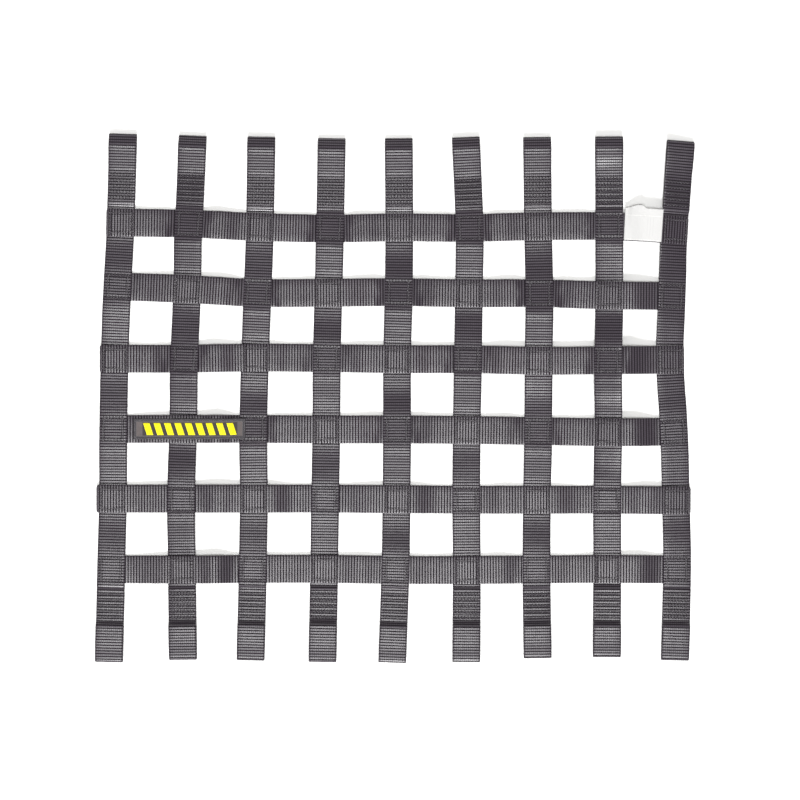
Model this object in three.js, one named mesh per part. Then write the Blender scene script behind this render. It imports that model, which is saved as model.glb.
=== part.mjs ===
// Window net of flat webbing, laid on a surface. Nine straps run down the net and six run across it.
// They are woven over and under one another and sewn together at all 54 crossings. Each end of a
// down strap is turned back underneath and sewn, which leaves a loop for a mounting rod.
//
// Millimetres, +Z up, the surface at z = 0. +X runs along the across straps and +Y points at the top
// loops. Every strap is the flat webbing as cut, bent along the curve in which it lies: small tilts,
// rises and drifts keep the net as uneven as a real one.
import * as THREE from "three";

// Webbing and how it is stacked
const WEB_WIDTH = 25.4;
const WEB_THICK = 1.5;
const GAP = 0.3;
const HALF_WIDTH = WEB_WIDTH / 2;
const HALF_THICK = WEB_THICK / 2;
const HALF_LAYER = (WEB_THICK + GAP) / 2;
// Height of the seam between the two straps of a flat crossing
const SEAM_HEIGHT = WEB_THICK + GAP / 2;
// A crossing stays flat this far from its middle, a little past the other strap's edge
const FLAT_HALF = HALF_WIDTH + 2;

// Rod loops at the ends of the down straps
const FLAP_SETBACK = 6;
const SEWN_LENGTH = 28;
// The crest of a top loop lies this far in from its end, and that of a low loop, which rises at once,
// this far out from its sewn part. The strap leaves the fold at a lean.
const TOP_CREST = 11;
const LOW_CREST = 5.5;
const FOLD_LEAN = THREE.MathUtils.degToRad(17);
const BEND_STEPS = 8;
const CREST_STEPS = 3;
const FALL_STEPS = 5;

// Straight pieces in each span between two crossings, and in the short run beside a flap
const DOWN_SPAN_STEPS = 6;
const ACROSS_SPAN_STEPS = 8;
const SHORT_STEPS = 3;
// A tilted crossing twists the across strap over this share of the span on each side
const TWISTED_SHARE = 0.22;
// Between a flap's cut end and the next crossing the strap sinks by this much
const FLAP_DIP = 0.7;
// A curve's direction at a place is taken from points this far to either side
const REACH = 0.1;

// Pieces sewn to the net, which stand a little further off so as to clear the twist of their strap
const TRIM_GAP = 0.4;
const BADGE = { left: -239, right: -136, width: 19, thick: 1.2, row: 3, climb: 12 };
const LABEL = { left: 211.5, right: 245.5, below: 12, above: 18, thick: 1, row: 0 };
// The label's upper edge stands up in a low peak, and drops to its right at a crease
const PEAK = { height: 2.7, top: 223.5, creaseFrom: 226.5, creaseTo: 230.5 };

const CHARCOAL = new THREE.MeshStandardMaterial({ color: 0x2b2a2e, roughness: 0.75, metalness: 0 });
const BADGE_BLACK = new THREE.MeshStandardMaterial({ color: 0x1d1c1f, roughness: 0.6, metalness: 0 });
const LABEL_WHITE = new THREE.MeshStandardMaterial({ color: 0xeeeeea, roughness: 0.8, metalness: 0 });

// Turns a table, its first row the column names, into one object per row.
function table([names, ...rows]) {
  return rows.map((row) => Object.fromEntries(row.map((value, i) => [names[i], value])));
}

// Nominal places of the two sets of straps, at which the tables below give each strap's real one
const ROW_Y = [158, 97.5, 36, -29, -92.5, -157];
const COLUMN_X = [-255, -192, -127, -61, 3, 68, 132, 197.5, 257.5];

// One row per down strap: the y of its two ends, and its x at the top end, each row and the low end
const DOWN = table([
  ["topY", "lowY", "topX", "x1", "x2", "x3", "x4", "x5", "x6", "lowX"],
  [243, -242, -248.5, -251, -254, -256.5, -257.5, -258, -259.5, -261.5],
  [241.5, -240, -184.5, -188, -190, -192, -193.5, -195, -194.5, -193.5],
  [240.5, -240.5, -121.5, -123, -125, -127.5, -129, -128.5, -129.5, -131.5],
  [239, -242, -57, -58.5, -60, -61.5, -62, -63, -64, -65.5],
  [239, -242.5, 4.5, 5, 4.5, 3, 3, 2.5, 1.5, -1.5],
  [240, -242, 66, 69.5, 69, 68, 67, 66.5, 67, 66.5],
  [240, -238.5, 131.5, 132.5, 133.5, 133, 132.5, 131.5, 131, 132],
  [240.5, -237.5, 197.5, 198, 198, 197.5, 197, 196, 196, 195.5],
  [236.5, -240.5, 263, 257.5, 255, 253.5, 257, 259, 260, 258],
]);

// One row per down strap: the outer height of its top and low loop, first at the fold and then at the
// crest, and how far each span between rows rises, or sags where it is below 0
const DOWN_RISE = table([
  ["topFold", "topLoop", "lowFold", "lowLoop", "s1", "s2", "s3", "s4", "s5"],
  [6.2, 8.2, 5.4, 7.6, 0, 0, 0, -0.2, 0],
  [5.2, 8.4, 5.2, 8.2, -0.2, 0, -0.6, 0.4, -0.6],
  [6.0, 8.2, 5.0, 7.6, 0, -0.4, -0.6, -0.4, 0],
  [5.2, 8.2, 5.4, 7.8, -0.6, -0.4, -0.6, 0, 0],
  [4.8, 8.0, 5.2, 7.6, -0.4, 0, -0.8, 0.2, -0.4],
  [6.8, 8.6, 5.0, 7.6, -0.4, 0.2, -0.6, 0.2, 0],
  [5.8, 8.2, 5.2, 7.8, -0.2, 0.4, -0.6, 0, 0],
  [9.0, 10.4, 5.6, 8.2, -0.8, 0, 0.2, -0.4, 0],
  [5.4, 5.8, 5.0, 7.6, -0.2, 0.4, -0.4, 0, 0.2],
]);

// One row per across strap: the x of its two ends, and its y at each column
const ACROSS = table([
  ["leftX", "rightX", "y1", "y2", "y3", "y4", "y5", "y6", "y7", "y8", "y9"],
  [-264, 270, 161.5, 160.5, 157.5, 156, 157, 156.5, 158, 158, 154.5],
  [-264.5, 265, 103, 100.5, 97, 97, 97.5, 96.5, 96.5, 94.5, 94],
  [-270, 266.5, 36.5, 36.5, 37.5, 37, 36, 36, 34.5, 35, 35.5],
  [-268, 267.5, -28, -28, -28, -28.5, -28.5, -29, -30, -31, -30.5],
  [-273, 272.5, -92, -92, -92, -92, -92.5, -93, -93, -93, -93.5],
  [-270, 270.5, -157, -157, -156.5, -156.5, -157.5, -157.5, -157, -156.5, -157],
]);

// One row per across strap: how far each span between columns rises, or sags where it is below 0
const ACROSS_RISE = table([
  ["s1", "s2", "s3", "s4", "s5", "s6", "s7", "s8"],
  [-0.4, 0.8, -0.4, 0.8, -0.4, 0.6, 0.2, 1.2],
  [0, 1.0, -0.4, 0.3, -0.7, 0.5, -0.5, 0],
  [-1.0, 1.0, -0.9, 0.5, -0.9, 1.1, 0, -0.8],
  [0.4, 2.4, -0.4, -0.3, -0.6, 0.9, -0.2, 0.6],
  [0, 1.2, -1.0, 0.1, -0.8, 0.9, -0.4, 0.7],
  [0, 2.0, -0.5, 0.8, -0.6, 0.9, -0.5, 0.9],
]);

// One row per across strap: how far each crossing stands off the surface
const LIFT = table([
  ["c1", "c2", "c3", "c4", "c5", "c6", "c7", "c8", "c9"],
  [0, 0.7, 0, 0.5, 0, 0.4, 0, 1.1, 0],
  [0.3, 0.4, 0.4, 0, 1.5, 0, 1.4, 1.9, 0],
  [0, 1.3, 0.4, 0.9, 1.2, 1.8, 2.6, 4.9, 0],
  [0.2, 0.8, 0.2, 0, 2.3, 0, 0.8, 0.8, 0],
  [0, 2.6, 1.6, 0.6, 0.9, 0.2, 0, 0.2, 0],
  [0.2, 0.8, 1.5, 0, 1.5, 0, 0.8, 0, 0],
]);

// One row per across strap: the tilt of each crossing, in degrees, its side toward the low loops raised
const TILT = table([
  ["c1", "c2", "c3", "c4", "c5", "c6", "c7", "c8", "c9"],
  [0, 6, 0, 6, 0, 6, 0, 5, 0],
  [2, 0, 5, 0, 7, 0, 8, 0, 0],
  [0, 4, 0, 3, 0, 4, 0, 4, 0],
  [2, 0, 5, 0, 4, 0, 4, 0, 0],
  [0, 1, 0, 1, 0, 1, 0, 1, 0],
  [1, 0, 1, 0, 1, 0, 1, 0, 0],
]);

// The down straps that have rolled a little, by their place from 0: degrees at each place of their x,
// above 0 where the left edge is off the surface and below 0 where the right one is
const ROLLED = table([
  ["strap", "top", "r1", "r2", "r3", "r4", "r5", "r6", "low"],
  [1, 0, -3, -1.5, -3, -1.5, -1, -3, 0],
  [7, 0, -3.5, -6, -7.5, -6.5, -2.5, -3, 0],
  [8, 8, 13, 8, 5, 3, 3, 2, 0],
]);

// Cubic from (0, a) to (1, b) whose slopes at the ends are slopeA and slopeB
function cubic(u, a, slopeA, b, slopeB) {
  const v = 1 - u;
  const ends = a * v * v * (1 + 2 * u) + b * u * u * (3 - 2 * u);
  return ends + slopeA * u * v * v - slopeB * u * u * v;
}

// A steady value over the flat part of each crossing, eased in between and steady past the two ends
function eased(places, values) {
  const last = places.length - 1;
  return (place) => {
    if (place <= places[0]) return values[0];
    if (place >= places[last]) return values[last];
    const i = places.findIndex((p) => p > place) - 1;
    const from = places[i] + (i > 0 ? FLAT_HALF : 0);
    const to = places[i + 1] - (i + 1 < last ? FLAT_HALF : 0);
    return THREE.MathUtils.mapLinear(
      THREE.MathUtils.smoothstep(place, from, to), 0, 1, values[i], values[i + 1],
    );
  };
}

// A smooth curve through values given at rising places, straight past its two ends
function through(places, values) {
  const last = places.length - 1;
  const slopes = places.map((_, i) => {
    const before = Math.max(i - 1, 0);
    const after = Math.min(i + 1, last);
    return (values[after] - values[before]) / (places[after] - places[before]);
  });
  return (place) => {
    if (place <= places[0]) return values[0] + slopes[0] * (place - places[0]);
    if (place >= places[last]) return values[last] + slopes[last] * (place - places[last]);
    const i = places.findIndex((p) => p > place) - 1;
    const step = places[i + 1] - places[i];
    const u = (place - places[i]) / step;
    return cubic(u, values[i], slopes[i] * step, values[i + 1], slopes[i + 1] * step);
  };
}

// Plan curves: x of a down strap at a y, its roll in radians, and y of an across strap at an x
const downX = DOWN.map((strap) => {
  const places = [strap.lowY, ...ROW_Y.toReversed(), strap.topY];
  const { lowX, x6, x5, x4, x3, x2, x1, topX } = strap;
  return through(places, [lowX, x6, x5, x4, x3, x2, x1, topX]);
});
const rollAlong = DOWN.map((strap, c) => {
  const rolled = ROLLED.find((row) => row.strap === c);
  if (!rolled) return () => 0;
  const places = [strap.lowY, ...ROW_Y.toReversed(), strap.topY];
  const { low, r6, r5, r4, r3, r2, r1, top } = rolled;
  const degrees = eased(places, [low, r6, r5, r4, r3, r2, r1, top]);
  return (y) => THREE.MathUtils.degToRad(degrees(y));
});
const acrossY = ACROSS.map(({ y1, y2, y3, y4, y5, y6, y7, y8, y9 }) =>
  through(COLUMN_X, [y1, y2, y3, y4, y5, y6, y7, y8, y9]),
);

// Plain weave: the down strap is on top where row plus column is odd
const downOnTop = (row, column) => (row + column) % 2 === 1;

// The line on which a down strap rests at a y: its middle, the way it runs in plan, and the normal of
// the strap, which leans when the strap is rolled onto its lower edge
function baseOf(c, y) {
  const drift = (downX[c](y + REACH) - downX[c](y - REACH)) / (2 * REACH);
  const roll = rollAlong[c](y);
  const north = new THREE.Vector3(drift, 1, 0).normalize();
  const east = new THREE.Vector3(1, -drift, 0).normalize();
  const up = new THREE.Vector3(0, 0, Math.cos(roll)).addScaledVector(east, Math.sin(roll));
  const height = HALF_WIDTH * Math.sin(Math.abs(roll));
  return { middle: new THREE.Vector3(downX[c](y), y, height), north, up };
}

// The sewn square where row r meets column c: its middle, its normal, and what the straps need of it
function crossingOf(r, c) {
  let x = COLUMN_X[c];
  let y = ROW_Y[r];
  for (let i = 0; i < 4; i++) {
    x = downX[c](y);
    y = acrossY[r](x);
  }
  const tilt = THREE.MathUtils.degToRad(Object.values(TILT[r])[c]);
  const seam = SEAM_HEIGHT + FLAT_HALF * Math.sin(tilt) + Object.values(LIFT[r])[c];
  const { middle, north, up } = baseOf(c, y);
  middle.addScaledVector(up, seam);
  const normal = up.multiplyScalar(Math.cos(tilt)).addScaledVector(north, Math.sin(tilt));
  return { middle, normal, y, seam, tilt, onTop: downOnTop(r, c) };
}
const CROSSINGS = ROW_Y.map((_, r) => COLUMN_X.map((_, c) => crossingOf(r, c)));

// Bends a flat strip of webbing along its stations. Each station is a middle point with the direction
// in which the strip runs and the normal of its upper face. Its left edge may stand out by a reach,
// which is worked out from the middle point.
function bentStrip(stations, { width = WEB_WIDTH, shift = 0, thick = WEB_THICK, reach } = {}) {
  const pieces = stations.length - 1;
  const geometry = new THREE.BoxGeometry(width, pieces, thick, 1, pieces, 1);
  const position = geometry.getAttribute("position");
  for (let i = 0; i < position.count; i++) {
    const { middle, along, normal } = stations[Math.round(position.getY(i) + pieces / 2)];
    const side = new THREE.Vector3().crossVectors(along, normal);
    const place = middle.clone();
    const out = reach && position.getX(i) < 0 ? reach(middle) : 0;
    place.addScaledVector(side, position.getX(i) + shift - out);
    place.addScaledVector(normal, position.getZ(i));
    position.setXYZ(i, place.x, place.y, place.z);
  }
  geometry.computeVertexNormals();
  return geometry;
}

// Down straps: their stations are first worked out as y, height above the base and direction in
// that upright plane (ty, th), and then placed along the strap's drift and roll.

// The stations inside a run between two places, which are given with their rises per millimetre
function runBetween(from, to, rise, steps) {
  const run = Math.abs(to.y - from.y);
  const heading = Math.sign(to.y - from.y);
  const heightAt = (u) => {
    const line = cubic(u, from.height, from.rise * run, to.height, to.rise * run);
    return Math.max(line + rise * Math.sin(Math.PI * u) ** 2, HALF_THICK);
  };
  const path = [];
  for (let i = 1; i < steps; i++) {
    const u = i / steps;
    const nudge = REACH / run;
    const slope = (heightAt(u + nudge) - heightAt(u - nudge)) / (2 * REACH);
    path.push({ y: from.y + heading * u * run, height: heightAt(u), ty: heading, th: slope });
  }
  return path;
}

// One folded end, from the flap's cut end out to the loop and back over the flap. The fold is tighter
// than the loop, which rises behind it to a crest at a given y and falls again to the sewn part.
function foldedEnd(end, flapEnd, foldHeight, loopHeight, crestY) {
  const out = Math.sign(end - flapEnd);
  const throat = flapEnd + out * SEWN_LENGTH;
  const radius = foldHeight / 2 - HALF_THICK;
  const bendMiddle = end - (out * foldHeight) / 2;
  const upper = { y: throat, height: HALF_THICK + 2 * HALF_LAYER, rise: 0 };
  const crest = { y: crestY, height: loopHeight - HALF_THICK, rise: 0 };
  const path = [flapEnd, throat].map((y) => ({ y, height: HALF_THICK, ty: out, th: 0 }));
  for (let i = 0; i <= BEND_STEPS; i++) {
    const turn = ((Math.PI - FOLD_LEAN) * i) / BEND_STEPS;
    path.push({
      y: bendMiddle + out * radius * Math.sin(turn),
      height: HALF_THICK + radius * (1 - Math.cos(turn)),
      ty: out * Math.cos(turn),
      th: Math.sin(turn),
    });
  }
  const leaving = { ...path.at(-1), rise: Math.tan(FOLD_LEAN) };
  path.push(...runBetween(leaving, crest, 0, CREST_STEPS), { ...crest, ty: -out, th: 0 });
  path.push(...runBetween(crest, upper, 0, FALL_STEPS), { ...upper, ty: -out, th: 0 });
  path.push({ y: flapEnd, height: upper.height, ty: -out, th: 0 });
  return path;
}

function downPath(c) {
  const strap = DOWN[c];
  const rises = DOWN_RISE[c];
  const spans = [rises.s1, rises.s2, rises.s3, rises.s4, rises.s5];
  const upper = HALF_THICK + 2 * HALF_LAYER;
  // Both edges of the flat part of each crossing, going down the net
  const edges = ROW_Y.map((_, r) => {
    const crossing = CROSSINGS[r][c];
    const layer = (crossing.onTop ? 1 : -1) * HALF_LAYER;
    const height = crossing.seam + layer / Math.cos(crossing.tilt);
    const rise = Math.tan(crossing.tilt);
    return [-FLAT_HALF, FLAT_HALF].map((reach) => ({
      y: crossing.y - reach,
      height: height + rise * reach,
      rise,
    }));
  });
  const topFlap = CROSSINGS[0][c].y + HALF_WIDTH + FLAP_SETBACK;
  const lowFlap = CROSSINGS[5][c].y - HALF_WIDTH - FLAP_SETBACK;
  const dips = [0, 5].map((r) => (CROSSINGS[r][c].onTop ? -FLAP_DIP : 0));
  const topCrest = strap.topY - TOP_CREST;
  const path = foldedEnd(strap.topY, topFlap, rises.topFold, rises.topLoop, topCrest);
  path.push(...runBetween({ y: topFlap, height: upper, rise: 0 }, edges[0][0], dips[0], SHORT_STEPS));
  edges.forEach(([before, after], r) => {
    if (r > 0) path.push(...runBetween(edges[r - 1][1], before, spans[r - 1], DOWN_SPAN_STEPS));
    path.push(...[before, after].map(({ y, height, rise }) => ({ y, height, ty: -1, th: rise })));
  });
  path.push(...runBetween(edges[5][1], { y: lowFlap, height: upper, rise: 0 }, dips[1], SHORT_STEPS));
  const lowCrest = lowFlap - SEWN_LENGTH - LOW_CREST;
  const lowEnd = foldedEnd(strap.lowY, lowFlap, rises.lowFold, rises.lowLoop, lowCrest);
  path.push(...lowEnd.reverse().map((s) => ({ ...s, ty: -s.ty, th: -s.th })));
  return path;
}

function downStation({ y, height, ty, th }, c) {
  const { middle, north, up } = baseOf(c, y);
  middle.addScaledVector(up, height);
  const along = north.clone().multiplyScalar(ty).addScaledVector(up, th).normalize();
  const normal = north.clone().multiplyScalar(th).addScaledVector(up, -ty).normalize();
  return { middle, along, normal };
}

// Across straps: a height and a normal at every x, flat on each crossing, with a smooth rise and fall
// and no twist halfway between two of them
function acrossSurface(r) {
  const crossings = CROSSINGS[r];
  const rises = Object.values(ACROSS_RISE[r]);
  const onPlane = ({ middle, normal, onTop }, x) => {
    const away = (x - middle.x) * normal.x + (acrossY[r](x) - middle.y) * normal.y;
    return middle.z - (away + (onTop ? 1 : -1) * HALF_LAYER) / normal.z;
  };
  const slopeOf = (crossing, x) =>
    (onPlane(crossing, x + REACH) - onPlane(crossing, x - REACH)) / (2 * REACH);
  return (x) => {
    const after = crossings.findIndex(({ middle }) => x < middle.x);
    const c = after === -1 ? crossings.length : after;
    const left = crossings[c - 1];
    const right = crossings[c];
    if (!left || (right && x >= right.middle.x - FLAT_HALF)) {
      return { height: onPlane(right, x), normal: right.normal };
    }
    if (!right || x <= left.middle.x + FLAT_HALF) {
      return { height: onPlane(left, x), normal: left.normal };
    }
    const from = left.middle.x + FLAT_HALF;
    const to = right.middle.x - FLAT_HALF;
    const run = to - from;
    const u = (x - from) / run;
    const [leftTwist, rightTwist] = [u, 1 - u].map(
      (v) => 1 - THREE.MathUtils.smoothstep(v, 0, TWISTED_SHARE),
    );
    const normal = new THREE.Vector3(0, 0, 1 - leftTwist - rightTwist);
    normal.addScaledVector(left.normal, leftTwist).addScaledVector(right.normal, rightTwist);
    normal.normalize();
    const leaving = slopeOf(left, from) * run;
    const meeting = slopeOf(right, to) * run;
    const line = cubic(u, onPlane(left, from), leaving, onPlane(right, to), meeting);
    const height = line + rises[c - 1] * Math.sin(Math.PI * u) ** 2;
    const lowest = HALF_THICK + HALF_WIDTH * Math.abs(normal.y);
    return { height: Math.max(height, lowest), normal };
  };
}
const ACROSS_SURFACES = ROW_Y.map((_, r) => acrossSurface(r));

function acrossStation(r, x) {
  const surface = ACROSS_SURFACES[r];
  const point = (at) => new THREE.Vector3(at, acrossY[r](at), surface(at).height);
  const along = point(x + REACH).sub(point(x - REACH)).normalize();
  const normal = surface(x).normal.clone();
  normal.addScaledVector(along, -normal.dot(along)).normalize();
  return { middle: point(x), along, normal };
}

function acrossPlaces(r) {
  const { leftX, rightX } = ACROSS[r];
  const places = [leftX];
  CROSSINGS[r].forEach(({ middle }, c) => {
    const before = middle.x - FLAT_HALF;
    const after = middle.x + FLAT_HALF;
    if (before > leftX) {
      if (c > 0) {
        const from = CROSSINGS[r][c - 1].middle.x + FLAT_HALF;
        const step = (before - from) / ACROSS_SPAN_STEPS;
        for (let i = 1; i < ACROSS_SPAN_STEPS; i++) places.push(from + i * step);
      }
      places.push(before);
    }
    if (after < rightX) places.push(after);
  });
  places.push(rightX);
  return places;
}

// The stations of a strip that lies on a strap's own stations from one x to another, raised by a lift
function lyingOn(stations, from, to, lift) {
  const between = (x) => {
    const next = stations.findIndex(({ middle }) => middle.x > x);
    const [a, b] = [stations[next - 1], stations[next]];
    const u = (x - a.middle.x) / (b.middle.x - a.middle.x);
    const mixed = (key) => a[key].clone().lerp(b[key], u);
    return {
      middle: mixed("middle"),
      along: mixed("along").normalize(),
      normal: mixed("normal").normalize(),
    };
  };
  const inside = stations.filter(({ middle }) => middle.x > from && middle.x < to);
  return [between(from), ...inside, between(to)].map(({ middle, along, normal }) => ({
    middle: middle.clone().addScaledVector(normal, lift(middle.x)),
    along,
    normal,
  }));
}

function piece(name, geometry, material) {
  const mesh = new THREE.Mesh(geometry, material);
  mesh.name = name;
  return mesh;
}

const net = new THREE.Group();

DOWN.forEach((_, c) => {
  const stations = downPath(c).map((step) => downStation(step, c));
  net.add(piece(`strap_down_${c + 1}`, bentStrip(stations), CHARCOAL));
});

const acrossStations = ACROSS.map((_, r) => acrossPlaces(r).map((x) => acrossStation(r, x)));
acrossStations.forEach((stations, r) => {
  net.add(piece(`strap_across_${r + 1}`, bentStrip(stations), CHARCOAL));
});

// The badge lies on its across strap and climbs onto the edge of the next down strap
const badgeRest = HALF_THICK + TRIM_GAP + BADGE.thick / 2;
const badgeStep = CROSSINGS[BADGE.row][2].middle.x - FLAT_HALF;
const badgeLift = (x) => {
  const climbed = THREE.MathUtils.smoothstep(x, badgeStep - BADGE.climb, badgeStep);
  return badgeRest + 2 * HALF_LAYER * climbed;
};
const badgeStations = lyingOn(acrossStations[BADGE.row], BADGE.left, BADGE.right, badgeLift);
net.add(piece("badge", bentStrip(badgeStations, BADGE), BADGE_BLACK));

// The label lies on its across strap and stands past the strap's upper edge
const labelLift = () => HALF_THICK + TRIM_GAP + LABEL.thick / 2;
const labelStations = lyingOn(acrossStations[LABEL.row], LABEL.left, LABEL.right, labelLift);
const labelPeak = ({ x }) => {
  const rising = THREE.MathUtils.smoothstep(x, LABEL.left, PEAK.top);
  return PEAK.height * rising * (1 - THREE.MathUtils.smoothstep(x, PEAK.creaseFrom, PEAK.creaseTo));
};
const labelStrip = {
  width: LABEL.below + LABEL.above,
  shift: (LABEL.below - LABEL.above) / 2,
  thick: LABEL.thick,
  reach: labelPeak,
};
net.add(piece("label", bentStrip(labelStations, labelStrip), LABEL_WHITE));

// The part's frame: its middle over the origin and its lowest point on the surface
const box = new THREE.Box3().setFromObject(net, true);
const middle = box.getCenter(new THREE.Vector3());
net.position.set(-middle.x, -middle.y, -box.min.z);

export default net;
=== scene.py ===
# %% [markdown]
# # A woven net of flat webbing
#
# Nine straps of ribbed webbing run down this net and six run across it. They pass over and under
# one another, and every crossing is sewn with a box of zigzag stitches. Both ends of each down
# strap are folded back and sewn, so that a rod can be pushed through the loops. The plain CAD
# solids give the place of every strap. This notebook builds each strap again as the cloth that it
# is, with ribs, rounded edges and thread, and gives the cloth its finishes.

# %% Load the fixed frame
import math
from bisect import bisect_right

import bmesh
import bpy
from mathutils import Matrix, Vector, noise


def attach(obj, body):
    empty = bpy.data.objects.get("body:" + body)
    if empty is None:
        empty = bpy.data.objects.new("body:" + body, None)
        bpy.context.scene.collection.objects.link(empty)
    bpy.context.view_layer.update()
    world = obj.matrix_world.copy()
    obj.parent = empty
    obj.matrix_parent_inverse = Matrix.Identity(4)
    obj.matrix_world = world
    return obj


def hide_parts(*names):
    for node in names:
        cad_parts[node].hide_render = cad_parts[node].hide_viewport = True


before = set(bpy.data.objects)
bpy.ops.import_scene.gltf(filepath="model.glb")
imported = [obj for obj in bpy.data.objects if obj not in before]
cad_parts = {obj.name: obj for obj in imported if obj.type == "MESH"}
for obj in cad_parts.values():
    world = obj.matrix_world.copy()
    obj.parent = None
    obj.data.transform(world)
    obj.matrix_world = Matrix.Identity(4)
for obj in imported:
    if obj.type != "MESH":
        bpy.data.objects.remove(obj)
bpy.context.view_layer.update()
scene = bpy.context.scene

# %% [markdown]
# ## The camera
#
# The net lies on a surface and is seen from straight above. A camera that isn't turned looks down
# its own -Z, so it only needs a height. The lens then follows from how much of the surface fits in
# the picture, because sensor width over lens length is view width over height.

# %% Hang the camera over the net
EYE = (0.0047, -0.0016, 3.0)
VIEW_WIDTH = 0.735

lens = bpy.data.cameras.new("camera")
lens.sensor_width = 36
lens.lens = lens.sensor_width * EYE[2] / VIEW_WIDTH
camera = bpy.data.objects.new("camera", lens)
camera.location = EYE
scene.collection.objects.link(camera)
scene.camera = camera
print("lens, mm:", round(lens.lens, 1))

# %% [markdown]
# ## The light
#
# The shadows are short and fall towards the top of the picture, so the main lamp stands at the low
# side. The straps that lie flat shine, and those that lean a little away are dark, so there is a
# second lamp nearly overhead, whose reflection is small. Sun lamps with a wide angle do both. Steep
# slopes reflect neither, so a long soft box stands beyond the top loops for those that face it.

# %% Light the net from the low side, from above and from beyond the top loops
def hang(light, place=(0, 0, 0), lean=0, turn=0):
    """Hangs a light that leans towards the low side and turns towards the right one, in degrees."""
    lamp = bpy.data.objects.new(light.name, light)
    lamp.location = place
    lamp.rotation_euler = (math.radians(lean), math.radians(turn), 0)
    scene.collection.objects.link(lamp)


def new_sun(name, strength, width):
    sun = bpy.data.lights.new(name, "SUN")
    sun.energy = strength
    sun.angle = math.radians(width)
    return sun


main_sun = new_sun("main lamp", strength=3.6, width=13)
hang(main_sun, lean=47)
upper_sun = new_sun("upper lamp", strength=1.9, width=14)
hang(upper_sun, lean=8, turn=-1)

soft_box = bpy.data.lights.new("soft box", "AREA")
soft_box.shape = "RECTANGLE"
soft_box.size = 3.0
soft_box.size_y = 1.2
soft_box.energy = 13
hang(soft_box, place=(0, 1.7, 0.7), lean=-80)
print("lamps:", main_sun.energy, upper_sun.energy, soft_box.energy)

# %% [markdown]
# A pale world fills the shadows, as the walls of a studio do. The Standard view keeps the white
# floor white, where the default one would grey it.

# %% Fill the shadows
world = bpy.data.worlds.new("pale room")
world.use_nodes = True
room = world.node_tree.nodes["Background"]
room.inputs["Color"].default_value = (1, 0.985, 0.93, 1)
room.inputs["Strength"].default_value = 0.42
scene.world = world
scene.view_settings.view_transform = "Standard"
print("room:", round(room.inputs["Strength"].default_value, 2))

# %% [markdown]
# ## Sums on materials
#
# A procedural finish is a sum of patterns. In the node editor each plus or minus is a Math node.
# This small class wraps a node's output, so that a pattern is written as an ordinary sum and the
# Math nodes are added as Python works it out. Every other node comes from its one method `node`.


# %% A node output that can be used in sums
class Signal:
    tree = None

    def __init__(self, socket):
        self.socket = socket

    @classmethod
    def node(cls, kind, settings=None, inputs=None, output=0):
        made = cls.tree.nodes.new(kind)
        for name, value in (settings or {}).items():
            setattr(made, name, value)
        for key, value in (inputs or {}).items():
            if isinstance(value, Signal):
                cls.tree.links.new(value.socket, made.inputs[key])
            else:
                made.inputs[key].default_value = value
        return cls(made.outputs[output])

    @classmethod
    def math(cls, operation, *values):
        return cls.node("ShaderNodeMath", {"operation": operation}, dict(enumerate(values)))

    def __add__(self, other):
        return self.math("ADD", self, other)

    def __sub__(self, other):
        return self.math("SUBTRACT", self, other)

    def __rsub__(self, other):
        return self.math("SUBTRACT", other, self)

    def __mul__(self, other):
        return self.math("MULTIPLY", self, other)

    def __truediv__(self, other):
        return self.math("DIVIDE", self, other)

    def __mod__(self, other):
        return self.math("FLOORED_MODULO", self, other)

    def __abs__(self):
        return self.math("ABSOLUTE", self)

    __radd__ = __add__
    __rmul__ = __mul__


print("sums of node outputs ready")

# %% [markdown]
# A finish starts with `new_finish`, which sets what is the same all over, and ends with `dress`,
# which links what changes from place to place: colour, height and, on the webbing, a coat.

# %% Start and end a finish
def new_finish(name, **constants):
    material = bpy.data.materials.new(name)
    material.use_nodes = True
    Signal.tree = material.node_tree
    shader = material.node_tree.nodes["Principled BSDF"]
    for key, value in constants.items():
        shader.inputs[key.replace("_", " ")].default_value = value
    return material


def dress(colour, bump_height, depth, coat=None):
    """Links the colour, height and coat of a finish to its shader; depth is in metres."""
    tree = Signal.tree
    shader = tree.nodes["Principled BSDF"]
    bumps = Signal.node("ShaderNodeBump", inputs={"Height": bump_height, "Distance": depth})
    tree.links.new(colour.socket, shader.inputs["Base Color"])
    tree.links.new(bumps.socket, shader.inputs["Normal"])
    if coat is not None:
        tree.links.new(coat.socket, shader.inputs["Coat Weight"])


print("start and end of a finish ready")

# %% [markdown]
# A few patterns turn up in every cloth: a wave, a soft step from 0 to 1, fine noise, and a mix of
# two colours. They are given short names here. Most of them need the place in the weave, which
# `attribute` reads from the cloth.

# %% Patterns that the finishes share
def wave(turns):
    """From 0 through 1 to 0 in each turn."""
    return 0.5 - 0.5 * Signal.math("COSINE", turns * math.tau)


def step(value, low, high):
    """From 0 below a low value to 1 above a high one."""
    settings = {"interpolation_type": "SMOOTHSTEP"}
    limits = {"Value": value, "From Min": low, "From Max": high}
    return Signal.node("ShaderNodeMapRange", settings, limits)


def attribute(name):
    """The three numbers that every vertex keeps under a name."""
    vector = Signal.node("ShaderNodeAttribute", {"attribute_name": name}, output="Vector")
    first = Signal.node("ShaderNodeSeparateXYZ", inputs={0: vector})
    return [Signal(socket) for socket in first.socket.node.outputs]


def grain(x, y, z, detail=2):
    """Soft noise between 0 and 1, with about one spot to a unit of each number."""
    place = Signal.node("ShaderNodeCombineXYZ", inputs={0: x, 1: y, 2: z})
    return Signal.node("ShaderNodeTexNoise", inputs={"Vector": place, "Scale": 1, "Detail": detail})


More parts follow.
